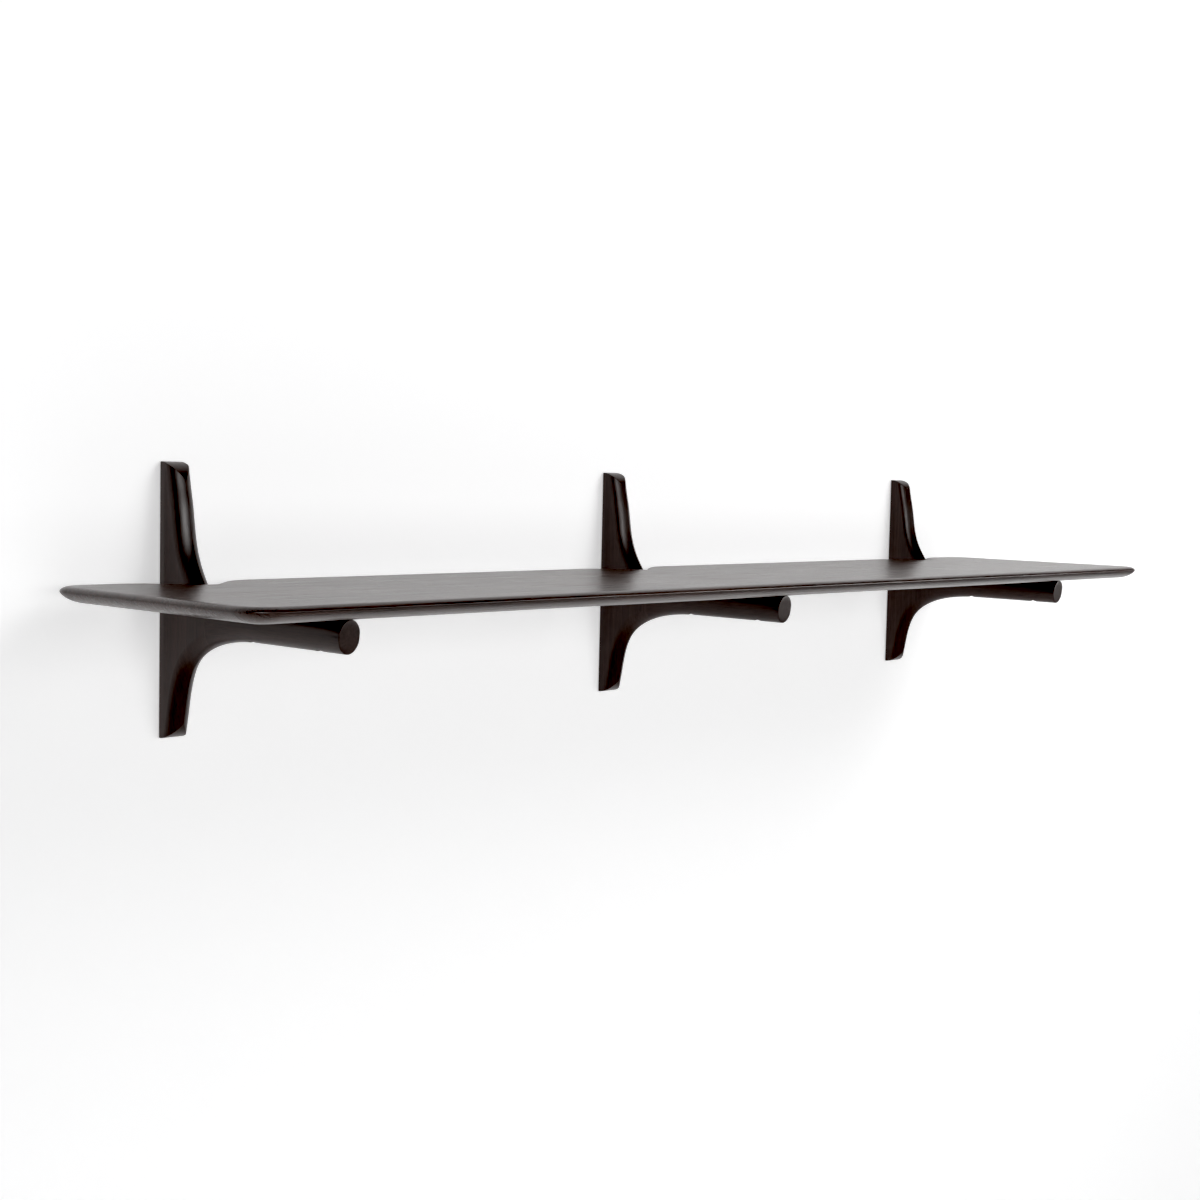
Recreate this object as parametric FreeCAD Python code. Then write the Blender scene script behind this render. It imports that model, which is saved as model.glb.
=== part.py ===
import FreeCAD, Part
import math
import os
from FreeCAD import Vector

# A long wall shelf: one thin hardwood board on three sculpted wooden brackets.
# Millimetres, +Z up. The wall is the plane y = 0 and the shelf reaches out towards -Y.
# The origin is on the wall, on the middle bracket's centre line, level with the board's top.

# ---- driving dimensions ----
BRACKET_NAMES = ("left", "middle", "right")
BRACKET_SPACING = 652.0

BOARD_LENGTH = 1600.0         # tip to tip of the pointed edge
BOARD_BACK_GAP = 18.0         # wall to the tip of the back edge
BOARD_REACH = 347.0           # wall to the tip of the front edge
BOARD_THICKNESS = 16.5
BOARD_CORNER_RADIUS = 33.0
EDGE_TIP_DROP = 4.3           # board top down to the tip of the edge
TOP_ROLL_WIDTH = 8.5          # rounded part of the top, inwards from the tip
UNDERCUT_WIDTH = 29.0         # curved underside of the edge, inwards from the tip
EDGE_STEPS_ABOVE = 3
EDGE_STEPS_BELOW = 6

NOTCH_HALF_WIDTH = 77.5       # at the back edge, for the tip outline
NOTCH_REACH = 67.5            # wall to the bottom of the notch, for the tip outline
NOTCH_BOTTOM_RADIUS = 12.0
NOTCH_SHOULDER_RADIUS = 55.0

BRACKET_WIDTH = 24.5
FIN_HEIGHT = 120.5            # top of the post above the board's top
POST_DROP = 161.0             # bottom of the post below the board's top
EDGE_ROUNDING = 11.5          # rounding of the long front and underside edges
ARM_REACH = 291.0             # wall to the end of the arm at its top
ARM_LEVEL_REACH = 240.0       # up to here the arm's top lies flat under the board
ARM_END_DROP = 3.1            # the top of the arm's end below the board
ARM_END_SLANT = 4.0           # the arm's end leans back by this much at its bottom
ARM_BOTTOM = -52.4
JOINT_PLANE = 80.0            # wall to the glued joint between post and arm

TENON_LENGTH = 60.0
TENON_THICKNESS = 9.0
TENON_HEIGHT = 26.0
TENON_CENTRE_Z = -36.0

PLATE_WIDTH = 17.0
PLATE_HEIGHT = 56.0
PLATE_THICKNESS = 2.0
PLATE_CENTRES_Z = {"upper": 64.0, "lower": -112.0}
PLATE_SCREW_OFFSET = 21.0
KEYHOLE_ENTRY_RADIUS = 4.75
KEYHOLE_SLOT_RADIUS = 2.4
KEYHOLE_SLOT_RISE = 11.0
KEYHOLE_ENTRY_DROP = 5.0      # entry hole below the plate's centre
POCKET_DEPTH = 12.0           # room behind the plate for the wall screw's head
POCKET_MARGIN = 1.0

PLATE_SCREW_LENGTH = 16.0
PLATE_SCREW_RADIUS = 1.75
PLATE_SCREW_HEAD_RADIUS = 3.4
PLATE_SCREW_HEAD_DEPTH = 1.65
PLATE_SCREW_POINT = 3.5
DRIVE_RECESS_RADIUS = 1.2

BOLT_REACHES = (145.0, 250.0)  # wall to each bolt between arm and board
BOLT_RADIUS = 3.0
BOLT_CLEARANCE_RADIUS = 3.4
BOLT_HEAD_RADIUS = 5.0
BOLT_HEAD_HEIGHT = 6.0
BOLT_SOCKET_RADIUS = 2.9
BOLT_SOCKET_DEPTH = 3.0
COUNTERBORE_RADIUS = 6.0
HEAD_SEAT_Z = -32.0
INSERT_RADIUS = 4.5
INSERT_LENGTH = 11.0
INSERT_FLOOR_GAP = 0.6        # bolt tip to the closed end of the insert's hole


def bracket_centres():
    return {name: (i - 1) * BRACKET_SPACING for i, name in enumerate(BRACKET_NAMES)}


def cylinder(radius, length, base, direction):
    return Part.makeCylinder(radius, length, Vector(*base), Vector(*direction))


def box_between(low, high):
    size = [high[i] - low[i] for i in range(3)]
    return Part.makeBox(size[0], size[1], size[2], Vector(*low))


# ---- board ----

def arc(centre, radius, start, end, z):
    """Arc in plan from one angle to another, in degrees, through the angle halfway between."""
    points = []
    for angle in (start, 0.5 * (start + end), end):
        a = math.radians(angle)
        points.append(Vector(centre[0] + radius * math.cos(a), centre[1] + radius * math.sin(a), z))
    return Part.Arc(*points).toShape()


def notch_geometry(inset):
    """The bell-shaped notch round a fin, moved into the board by inset: arc centres and radii."""
    shoulder_radius = NOTCH_SHOULDER_RADIUS - inset
    bottom_radius = NOTCH_BOTTOM_RADIUS + inset
    shoulder = (NOTCH_HALF_WIDTH, -BOARD_BACK_GAP - NOTCH_SHOULDER_RADIUS)
    bottom = (0.0, -NOTCH_REACH + NOTCH_BOTTOM_RADIUS)
    return shoulder, shoulder_radius, bottom, bottom_radius


def notch_turn():
    """Angle in degrees by which the notch's straight sides slope away from the back edge."""
    shoulder, shoulder_radius, bottom, bottom_radius = notch_geometry(0.0)
    across = shoulder[0] - bottom[0]
    out = bottom[1] - shoulder[1]
    distance = math.hypot(across, out)
    return math.degrees(math.asin((shoulder_radius + bottom_radius) / distance) - math.atan2(out, across))


def board_outline(inset, z):
    """Closed plan outline of the board, moved inwards from the tip of its edge by inset."""
    half = 0.5 * BOARD_LENGTH
    corner = BOARD_CORNER_RADIUS
    radius = corner - inset
    back = -BOARD_BACK_GAP - corner
    front = -BOARD_REACH + corner
    arcs = [arc((half - corner, back), radius, 0, 90, z)]
    turn = notch_turn()
    for centre in sorted(bracket_centres().values(), reverse=True):
        shoulder, shoulder_radius, bottom, bottom_radius = notch_geometry(inset)
        right = (centre + shoulder[0], shoulder[1])
        left = (centre - shoulder[0], shoulder[1])
        middle = (centre + bottom[0], bottom[1])
        arcs.append(arc(right, shoulder_radius, 90, 90 + turn, z))
        arcs.append(arc(middle, bottom_radius, 270 + turn, 270 - turn, z))
        arcs.append(arc(left, shoulder_radius, 90 - turn, 90, z))
    arcs.append(arc((-half + corner, back), radius, 90, 180, z))
    arcs.append(arc((-half + corner, front), radius, 180, 270, z))
    arcs.append(arc((half - corner, front), radius, 270, 360, z))
    edges = []
    for current, following in zip(arcs, arcs[1:] + arcs[:1]):
        edges.append(current)
        end = current.Vertexes[-1].Point
        start = following.Vertexes[0].Point
        edges.append(Part.LineSegment(end, start).toShape())
    return Part.Wire(edges)


def edge_profile():
    """Points (inset, z) of the board's edge: a rolled top, a pointed tip and a long curved undercut."""
    points = []
    for step in range(EDGE_STEPS_ABOVE + 1):
        a = math.radians(90.0 * step / EDGE_STEPS_ABOVE)
        points.append((TOP_ROLL_WIDTH * (1 - math.sin(a)), -EDGE_TIP_DROP * (1 - math.cos(a))))
    below = BOARD_THICKNESS - EDGE_TIP_DROP
    for step in range(1, EDGE_STEPS_BELOW + 1):
        a = math.radians(90.0 * step / EDGE_STEPS_BELOW)
        points.append((UNDERCUT_WIDTH * (1 - math.cos(a)), -EDGE_TIP_DROP - below * math.sin(a)))
    return points


def make_board():
    layers = [board_outline(inset, z) for inset, z in edge_profile()]
    board = Part.makeLoft(layers, True, True)
    for centre in bracket_centres().values():
        for reach in BOLT_REACHES:
            hole = cylinder(INSERT_RADIUS, INSERT_LENGTH, (centre, -reach, -BOARD_THICKNESS), (0, 0, 1))
            board = board.cut(hole)
    return board


# ---- brackets ----

def smooth_curve(points, start_direction, end_direction):
    """Smooth side-view curve through (reach, z) points, leaving and arriving along given directions."""
    curve = Part.BSplineCurve()
    places = [Vector(0, -reach, z) for reach, z in points]
    start = Vector(0, -start_direction[0], start_direction[1])
    end = Vector(0, -end_direction[0], end_direction[1])
    curve.interpolate(Points=places, InitialTangent=start, FinalTangent=end)
    return curve.toShape()


def side_line(start, end):
    return Part.LineSegment(Vector(0, -start[0], start[1]), Vector(0, -end[0], end[1])).toShape()


def side_arc(start, through, end):
    return Part.Arc(*[Vector(0, -reach, z) for reach, z in (start, through, end)]).toShape()


def bracket_profile():
    """Side view of post and arm together, as one closed wire in the plane x = 0."""
    top = (0.0, FIN_HEIGHT)
    fin_tip = (28.0, FIN_HEIGHT - 19.0)
    seat_start = (104.0, -BOARD_THICKNESS)
    level_end = (ARM_LEVEL_REACH, -BOARD_THICKNESS)
    arm_top = (ARM_REACH, -BOARD_THICKNESS - ARM_END_DROP)
    arm_top_middle = (0.5 * (ARM_LEVEL_REACH + ARM_REACH), -BOARD_THICKNESS - 0.25 * ARM_END_DROP)
    arm_bottom = (ARM_REACH - ARM_END_SLANT, ARM_BOTTOM)
    arm_root = (156.0, ARM_BOTTOM)
    foot_tip = (26.0, -POST_DROP + 16.5)
    bottom = (0.0, -POST_DROP)
    fin_front = [fin_tip, (32.5, 81.0), (37.2, 53.0), (43.8, 28.0), (60.0, 0.0), (70.0, -11.3), seat_start]
    under_arm = [arm_root, (105.0, -56.3), (63.6, -70.3), (45.5, -85.0), (36.0, -102.0), foot_tip]
    return Part.Wire([
        side_arc(top, (16.0, FIN_HEIGHT - 4.2), fin_tip),
        smooth_curve(fin_front, (4.0, -22.0), (37.0, 0.0)),
        side_line(seat_start, level_end),
        side_arc(level_end, arm_top_middle, arm_top),
        side_line(arm_top, arm_bottom),
        side_line(arm_bottom, arm_root),
        smooth_curve(under_arm, (-51.0, 0.0), (-6.0, -27.0)),
        side_arc(foot_tip, (15.0, -POST_DROP + 4.0), bottom),
        side_line(bottom, top),
    ])


def is_long_side_edge(edge):
    """True for the edges along the fin's front, the arm and the foot, which are rounded."""
    box = edge.BoundBox
    if box.XLength > 0.01:
        return False
    on_wall = box.YMin > -0.01
    end_cut = box.YMax > -0.01
    arm_end = box.YMax < -ARM_REACH + ARM_END_SLANT + 0.01
    return not (on_wall or end_cut or arm_end)


def make_bracket_blank():
    """Post and arm as one sculpted form, before it is divided at the glued joint."""
    face = Part.Face(bracket_profile())
    face.translate(Vector(-0.5 * BRACKET_WIDTH, 0, 0))
    slab = face.extrude(Vector(BRACKET_WIDTH, 0, 0))
    long_edges = [edge for edge in slab.Edges if is_long_side_edge(edge)]
    return slab.makeFillet(EDGE_ROUNDING, long_edges)


def tenon_shape():
    """Loose tenon with round edges, half in the post and half in the arm."""
    half_height = 0.5 * TENON_HEIGHT
    radius = 0.5 * TENON_THICKNESS
    low = (-radius, -JOINT_PLANE - 0.5 * TENON_LENGTH, TENON_CENTRE_Z - half_height + radius)
    high = (radius, -JOINT_PLANE + 0.5 * TENON_LENGTH, TENON_CENTRE_Z + half_height - radius)
    tenon = box_between(low, high)
    for z in (low[2], high[2]):
        tenon = tenon.fuse(cylinder(radius, TENON_LENGTH, (0, low[1], z), (0, 1, 0)))
    return tenon.removeSplitter()


def slot_shape(radius, z_low, z_high, y_back, depth):
    """Upright slot with round ends, cut from y_back into the post by depth."""
    slot = box_between((-radius, y_back - depth, z_low), (radius, y_back, z_high))
    for z in (z_low, z_high):
        slot = slot.fuse(cylinder(radius, depth, (0, y_back, z), (0, -1, 0)))
    return slot.removeSplitter()


def plate_outline(z):
    radius = 0.5 * PLATE_WIDTH
    reach = 0.5 * PLATE_HEIGHT - radius
    return slot_shape(radius, z - reach, z + reach, 0.0, PLATE_THICKNESS)


def screw_positions(z):
    return [z - PLATE_SCREW_OFFSET, z + PLATE_SCREW_OFFSET]


def wood_screw(z):
    """Countersunk wood screw driven from the wall side towards the front."""
    head = Part.makeCone(PLATE_SCREW_HEAD_RADIUS, PLATE_SCREW_RADIUS, PLATE_SCREW_HEAD_DEPTH,
                         Vector(0, 0, z), Vector(0, -1, 0))
    shank_length = PLATE_SCREW_LENGTH - PLATE_SCREW_HEAD_DEPTH - PLATE_SCREW_POINT
    shank_start = -PLATE_SCREW_HEAD_DEPTH
    shank = cylinder(PLATE_SCREW_RADIUS, shank_length, (0, shank_start, z), (0, -1, 0))
    point = Part.makeCone(PLATE_SCREW_RADIUS, 0.2, PLATE_SCREW_POINT,
                          Vector(0, shank_start - shank_length, z), Vector(0, -1, 0))
    return head.fuse([shank, point]).removeSplitter()


def make_keyhole_plate(z):
    plate = plate_outline(z)
    entry_z = z - KEYHOLE_ENTRY_DROP
    entry = cylinder(KEYHOLE_ENTRY_RADIUS, PLATE_THICKNESS, (0, 0, entry_z), (0, -1, 0))
    slot = slot_shape(KEYHOLE_SLOT_RADIUS, entry_z, entry_z + KEYHOLE_SLOT_RISE, 0.0, PLATE_THICKNESS)
    plate = plate.cut(entry).cut(slot)
    for screw_z in screw_positions(z):
        plate = plate.cut(wood_screw(screw_z))
    return plate


def keyhole_pocket(z):
    """Routed room in the post that lets the wall screw's head in and slide up."""
    radius = KEYHOLE_ENTRY_RADIUS + POCKET_MARGIN
    entry_z = z - KEYHOLE_ENTRY_DROP
    return slot_shape(radius, entry_z, entry_z + KEYHOLE_SLOT_RISE, 0.0, POCKET_DEPTH)


def make_post(blank):
    reach = ARM_REACH + 10.0
    beyond_joint = box_between((-reach, -reach, -reach), (reach, -JOINT_PLANE, reach))
    post = blank.cut(beyond_joint).cut(tenon_shape())
    for z in PLATE_CENTRES_Z.values():
        post = post.cut(plate_outline(z)).cut(keyhole_pocket(z))
        for screw_z in screw_positions(z):
            post = post.cut(wood_screw(screw_z))
    return post


def make_arm(blank):
    reach = ARM_REACH + 10.0
    behind_joint = box_between((-reach, -JOINT_PLANE, -reach), (reach, reach, reach))
    arm = blank.cut(behind_joint).cut(tenon_shape())
    for bolt_reach in BOLT_REACHES:
        clearance = cylinder(BOLT_CLEARANCE_RADIUS, -ARM_BOTTOM, (0, -bolt_reach, ARM_BOTTOM), (0, 0, 1))
        counterbore_start = ARM_BOTTOM - 1.0
        counterbore = cylinder(COUNTERBORE_RADIUS, HEAD_SEAT_Z - counterbore_start,
                               (0, -bolt_reach, counterbore_start), (0, 0, 1))
        arm = arm.cut(clearance).cut(counterbore)
    return arm


# ---- hardware ----

def hexagonal_socket(reach, z):
    corners = []
    for i in range(7):
        a = math.radians(60.0 * i)
        corners.append(Vector(BOLT_SOCKET_RADIUS * math.cos(a), -reach + BOLT_SOCKET_RADIUS * math.sin(a), z))
    return Part.Face(Part.makePolygon(corners)).extrude(Vector(0, 0, BOLT_SOCKET_DEPTH))


def make_bolt(reach):
    """Cap-head machine bolt, driven up through the arm into the board's threaded insert."""
    head_start = HEAD_SEAT_Z - BOLT_HEAD_HEIGHT
    tip_z = -BOARD_THICKNESS + INSERT_LENGTH - INSERT_FLOOR_GAP
    head = cylinder(BOLT_HEAD_RADIUS, BOLT_HEAD_HEIGHT, (0, -reach, head_start), (0, 0, 1))
    shank = cylinder(BOLT_RADIUS, tip_z - HEAD_SEAT_Z, (0, -reach, HEAD_SEAT_Z), (0, 0, 1))
    bolt = head.fuse(shank).removeSplitter()
    return bolt.cut(hexagonal_socket(reach, head_start))


def make_insert(reach):
    """Threaded brass insert screwed into the board's underside."""
    base = (0, -reach, -BOARD_THICKNESS)
    body = cylinder(INSERT_RADIUS, INSERT_LENGTH, base, (0, 0, 1))
    return body.cut(cylinder(BOLT_RADIUS, INSERT_LENGTH, base, (0, 0, 1)))


def make_plate_screw(z):
    recess = cylinder(DRIVE_RECESS_RADIUS, 0.8 * PLATE_SCREW_HEAD_DEPTH, (0, 0, z), (0, -1, 0))
    return wood_screw(z).cut(recess)


# ---- assembly ----

def moved(shape, x):
    copy = shape.copy()
    copy.translate(Vector(x, 0, 0))
    return copy


def make_bracket_pieces():
    blank = make_bracket_blank()
    pieces = {
        "post": make_post(blank),
        "arm": make_arm(blank),
        "loose_tenon": tenon_shape(),
        "board_bolts": Part.makeCompound([make_bolt(reach) for reach in BOLT_REACHES]),
        "board_inserts": Part.makeCompound([make_insert(reach) for reach in BOLT_REACHES]),
    }
    for place, z in PLATE_CENTRES_Z.items():
        pieces[place + "_keyhole_plate"] = make_keyhole_plate(z)
    screws = [make_plate_screw(s) for z in PLATE_CENTRES_Z.values() for s in screw_positions(z)]
    pieces["plate_screws"] = Part.makeCompound(screws)
    return pieces


def main():
    os.makedirs("parts", exist_ok=True)
    nodes = {"shelf_board": make_board()}
    pieces = make_bracket_pieces()
    for name, centre in bracket_centres().items():
        for piece, shape in pieces.items():
            nodes[name + "_" + piece] = moved(shape, centre)
    for name, shape in nodes.items():
        shape.exportStep("parts/" + name + ".step")
        print(name, "valid" if shape.isValid() else "NOT VALID", len(shape.Solids), round(shape.Volume))


main()
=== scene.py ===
import bmesh
import bpy
import math
import numpy as np
from mathutils import Matrix, Vector


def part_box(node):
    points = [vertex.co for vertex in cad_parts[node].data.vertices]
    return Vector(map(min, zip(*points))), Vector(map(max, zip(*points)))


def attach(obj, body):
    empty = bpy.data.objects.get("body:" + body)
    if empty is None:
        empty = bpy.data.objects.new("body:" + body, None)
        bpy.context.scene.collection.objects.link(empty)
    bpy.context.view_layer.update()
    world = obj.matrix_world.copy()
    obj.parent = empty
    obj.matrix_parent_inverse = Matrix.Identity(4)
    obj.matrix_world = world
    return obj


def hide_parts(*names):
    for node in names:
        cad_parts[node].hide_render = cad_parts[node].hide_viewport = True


# A long dark-stained wall shelf on three carved brackets, in metres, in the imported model's frame.
# The wall is the plane y = 0, the shelf reaches out towards -Y, and z = 0 is the board's top.

MM = 0.001
BRACKETS = ("left", "middle", "right")

# The board's edge: a rolled top, a fine tip and a long curved undercut.
EDGE_TIP_DROP = 4.3 * MM
TOP_ROLL_WIDTH = 8.5 * MM
UNDERCUT_WIDTH = 29 * MM
EDGE_TURN = 76                  # degrees of an oval used by the roll and the undercut: 90 would be blunt
ARRIS_HEIGHT = 0.7 * MM         # narrow upright band between the roll and the undercut
BOARD_CORNER_RADIUS = 33 * MM
NOTCH_HALF_WIDTH = 77.5 * MM
NOTCH_REACH = 67.5 * MM
NOTCH_BOTTOM_RADIUS = 12 * MM
NOTCH_SHOULDER_RADIUS = 55 * MM
FLAT_MARGIN = 1.5 * MM          # level strip beside a rounding, so that the flat shades as flat

# The bracket's side view, as reach from the wall and height, and its rounded section.
JOINT_PLANE = 80 * MM
ARM_LEVEL_REACH = 240 * MM
ARM_END_DROP = 3.1 * MM
ARM_END_SLANT = 4 * MM
ARM_BOTTOM = -52.4 * MM
FIN_NOSE_DEPTH = 14 * MM        # how far the shaping runs back from the crest, on the post
ARM_NOSE_DEPTH = 15.6 * MM      # the same on the arm
FIN_ROUNDNESS = 1.2             # 1 is a pointed arch with a sharp crest, 2 is a full oval
ARM_ROUNDNESS = 2.0
SIDE_MARGIN = 0.4 * MM
FIN_TIP = (28 * MM, 19 * MM)    # reach and drop where the top end cut meets the crest
FOOT_TIP = (26 * MM, 16.5 * MM) # reach and rise where the bottom end cut meets it
# Reach and height in mm of points along the fin's front and the foot's front.
FIN_LINE = [(32.5, 81.0), (37.2, 53.0), (43.8, 28.0), (60.0, 0.0), (70.0, -11.3)]
FIN_LINE_END = 104.0            # where the sweep meets the board's underside
FOOT_LINE = [(105.0, -56.3), (63.6, -70.3), (45.5, -85.0), (36.0, -102.0)]
FOOT_LINE_START = 156.0         # where the arm's underside starts to bend down
END_CUT_BOW = (0.57, 0.22)      # how far across and up an end cut passes, as shares of its tip
LINE_OVERRUN = 32 * MM          # outlines are carried on this far, to be sure that they cross
END_OVERRUN = 8 * MM
SECTION_STEPS = 12
EASED_EDGE = 0.9 * MM

# Fixings.
PLATE_RADIUS = 8.5 * MM
PLATE_THICKNESS = 2 * MM
POCKET_RADIUS = 5.75 * MM
POCKET_DEPTH = 12 * MM
POCKET_REACH = (-5 * MM, 6 * MM)
SCREW_LENGTH = 16 * MM
SCREW_HEAD_RADIUS = 3.4 * MM
SCREW_HEAD_DEPTH = 1.65 * MM
SCREW_SHANK_RADIUS = 1.75 * MM
SCREW_POINT_LENGTH = 3.5 * MM
SCREW_OFFSET = 21 * MM
SCREW_CORE_RADIUS = 1.25 * MM
SCREW_PITCH = 1.6 * MM
SCREW_THREAD_CREST = 0.45 * MM
BOLT_REACHES = (145 * MM, 250 * MM)
BOLT_SEAT_Z = -32 * MM
BOLT_HEAD_RADIUS = 5 * MM
BOLT_HEAD_HEIGHT = 6 * MM
BOLT_CORE_RADIUS = 2.5 * MM
BOLT_PITCH = 1 * MM
BOLT_THREAD_CREST = 0.48 * MM
COUNTERBORE_RADIUS = 6 * MM
CLEARANCE_RADIUS = 3.4 * MM
INSERT_RADIUS = 4.5 * MM
INSERT_LENGTH = 11 * MM
PAST_SURFACE = 1 * MM           # cutters stand this far out of the wood

# The studio.
WALL_GLOW = 0.41
STUDIO_DIM = 0.03               # world strength in front of the wall
STUDIO_BRIGHT = 0.9             # behind the wall, and wherever the eye sees past it
FLOOR_Z = -2.9
BLACK_LEVEL = 0.027             # linear value that is shown as black
WALL_OPENING = 10 * MM          # light passes the wall this close to the wood
CAMERA_PLACE = (-1.6881, -1.5765, 0.1175)
CAMERA_TURN = (48.35, 3.953, 1.398)     # yaw, pitch and roll in degrees
CAMERA_LENS = 53.77             # mm, for a sensor 36 mm wide
CAMERA_SHIFT = -0.0417

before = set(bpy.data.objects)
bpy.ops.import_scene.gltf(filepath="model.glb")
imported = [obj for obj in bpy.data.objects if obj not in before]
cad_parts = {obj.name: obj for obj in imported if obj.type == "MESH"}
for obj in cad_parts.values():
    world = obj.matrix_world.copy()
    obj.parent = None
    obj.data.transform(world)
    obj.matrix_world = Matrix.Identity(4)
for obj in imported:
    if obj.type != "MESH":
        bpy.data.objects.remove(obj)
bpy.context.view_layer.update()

# Overall sizes of the wood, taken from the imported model.
board_low, board_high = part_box("shelf_board")
board_half = board_high.x
board_back = -board_high.y
board_reach = -board_low.y
board_thickness = board_high.z - board_low.z
post_low, post_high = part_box("middle_post")
half_bracket = 0.5 * (post_high.x - post_low.x)
fin_height = post_high.z
post_bottom = post_low.z
arm_reach = -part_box("middle_arm")[0].y


# ---- small helpers ----

def add(tree, kind, inputs=None, **settings):
    """A node in tree with its settings, and each input linked to a socket or set to a value."""
    node = tree.nodes.new(kind)
    for name, value in settings.items():
        setattr(node, name, value)
    for key, value in (inputs or {}).items():
        for source in value if isinstance(value, list) else [value]:
            if isinstance(source, bpy.types.NodeSocket):
                tree.links.new(source, node.inputs[key])
            else:
                node.inputs[key].default_value = source
    return node


def srgb(hex_colour):
    """Linear RGBA of an sRGB hex colour."""
    parts = [int(hex_colour[i:i + 2], 16) / 255 for i in (1, 3, 5)]
    linear = [c / 12.92 if c <= 0.04045 else ((c + 0.055) / 1.055) ** 2.4 for c in parts]
    return (*linear, 1.0)


def new_object(name, mesh):
    obj = bpy.data.objects.new(name, mesh)
    bpy.context.scene.collection.objects.link(obj)
    return obj


def mesh_of(bm, name):
    mesh = bpy.data.meshes.new(name)
    bm.to_mesh(mesh)
    bm.free()
    return mesh


def smooth(mesh, angle=32):
    """Smooth shading, with an edge kept crisp where its faces meet at more than angle degrees."""
    mesh.shade_smooth()
    mesh.set_sharp_from_angle(angle=math.radians(angle))


def centre_x(node):
    low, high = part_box(node)
    return 0.5 * (low.x + high.x)


# ---- materials ----

def stained_wood(name, turn, sheen, roughness, base, dark, light, pore):
    """Open-grain hardwood, stained and given a thin satin varnish. The grain runs along X once turned.

    The stain darkens the pores, and the varnish leaves them as fine furrows that break up the sheen.
    """
    material = bpy.data.materials.new(name)
    material.use_nodes = True
    tree = material.node_tree
    shader = tree.nodes["Principled BSDF"]
    place = add(tree, "ShaderNodeTexCoord").outputs["Object"]
    grain = add(tree, "ShaderNodeMapping", {"Vector": place, "Rotation": turn}).outputs[0]

    # Broad colour bands, about 22 mm across the grain and 0.5 m along it.
    band_place = add(tree, "ShaderNodeMapping", {"Vector": grain, "Scale": (2, 45, 45)}).outputs[0]
    bands = add(tree, "ShaderNodeTexNoise",
                {"Vector": band_place, "Scale": 1.0, "Detail": 3.0, "Distortion": 0.4}).outputs[0]
    # Fibre streaks: 2.5 mm across and 120 mm long, coarser than real fibres so that they show.
    fibre_place = add(tree, "ShaderNodeMapping", {"Vector": grain, "Scale": (8, 400, 400)}).outputs[0]
    fibres = add(tree, "ShaderNodeTexNoise",
                 {"Vector": fibre_place, "Scale": 1.0, "Detail": 4.0, "Roughness": 0.6}).outputs[0]
    # Pores: 0.6 mm wide and 14 mm long, about twice the real width.
    pore_place = add(tree, "ShaderNodeMapping", {"Vector": grain, "Scale": (70, 1600, 1600)}).outputs[0]
    pores = add(tree, "ShaderNodeTexNoise",
                {"Vector": pore_place, "Scale": 1.0, "Detail": 1.5}).outputs[0]
    pore_depth = add(tree, "ShaderNodeMapRange",
                     {"Value": pores, "From Min": 0.52, "From Max": 0.68}).outputs[0]

    tone = add(tree, "ShaderNodeMath", {0: bands, 1: fibres}, operation="ADD").outputs[0]
    ramp = add(tree, "ShaderNodeMapRange", {"Value": tone, "From Min": 0.75, "From Max": 1.25}).outputs[0]
    lower = add(tree, "ShaderNodeMix", {0: ramp, 6: srgb(dark), 7: srgb(base)}, data_type="RGBA").outputs[2]
    upper = add(tree, "ShaderNodeMix", {0: ramp, 6: srgb(base), 7: srgb(light)}, data_type="RGBA").outputs[2]
    body = add(tree, "ShaderNodeMix", {0: ramp, 6: lower, 7: upper}, data_type="RGBA").outputs[2]
    pore_share = add(tree, "ShaderNodeMath", {0: pore_depth, 1: 0.7}, operation="MULTIPLY").outputs[0]
    colour = add(tree, "ShaderNodeMix", {0: pore_share, 6: body, 7: srgb(pore)}, data_type="RGBA").outputs[2]

    rough = add(tree, "ShaderNodeMapRange",
                {"Value": fibres, "From Min": 0.3, "From Max": 0.7,
                 "To Min": roughness[0], "To Max": roughness[1]}).outputs[0]
    relief = add(tree, "ShaderNodeMath", {0: fibres, 1: pore_depth}, operation="SUBTRACT").outputs[0]
    bump = add(tree, "ShaderNodeBump", {"Height": relief, "Strength": 0.35, "Distance": 0.06 * MM}).outputs[0]
    tree.links.new(colour, shader.inputs["Base Color"])
    tree.links.new(rough, shader.inputs["Roughness"])
    tree.links.new(bump, shader.inputs["Normal"])
    shader.inputs["IOR"].default_value = 1.5
    shader.inputs["Specular IOR Level"].default_value = sheen
    return material


def plain_beech():
    """Unfinished beech for the loose tenons: pale, matt, with short flecks across a fine even grain."""
    material = bpy.data.materials.new("beech_unfinished")
    material.use_nodes = True
    tree = material.node_tree
    shader = tree.nodes["Principled BSDF"]
    place = add(tree, "ShaderNodeTexCoord").outputs["Object"]
    # Flecks 1 mm wide and 4 mm long, along Y.
    fleck_place = add(tree, "ShaderNodeMapping", {"Vector": place, "Scale": (1000, 250, 1000)}).outputs[0]
    flecks = add(tree, "ShaderNodeTexNoise", {"Vector": fleck_place, "Scale": 1.0, "Detail": 2.0}).outputs[0]
    colour = add(tree, "ShaderNodeMix", {0: flecks, 6: srgb("#D3B48A"), 7: srgb("#A9865C")}, data_type="RGBA")
    bump = add(tree, "ShaderNodeBump", {"Height": flecks, "Strength": 0.3, "Distance": 0.05 * MM})
    tree.links.new(colour.outputs[2], shader.inputs["Base Color"])
    tree.links.new(bump.outputs[0], shader.inputs["Normal"])
    shader.inputs["Roughness"].default_value = 0.7
    return material


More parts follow.
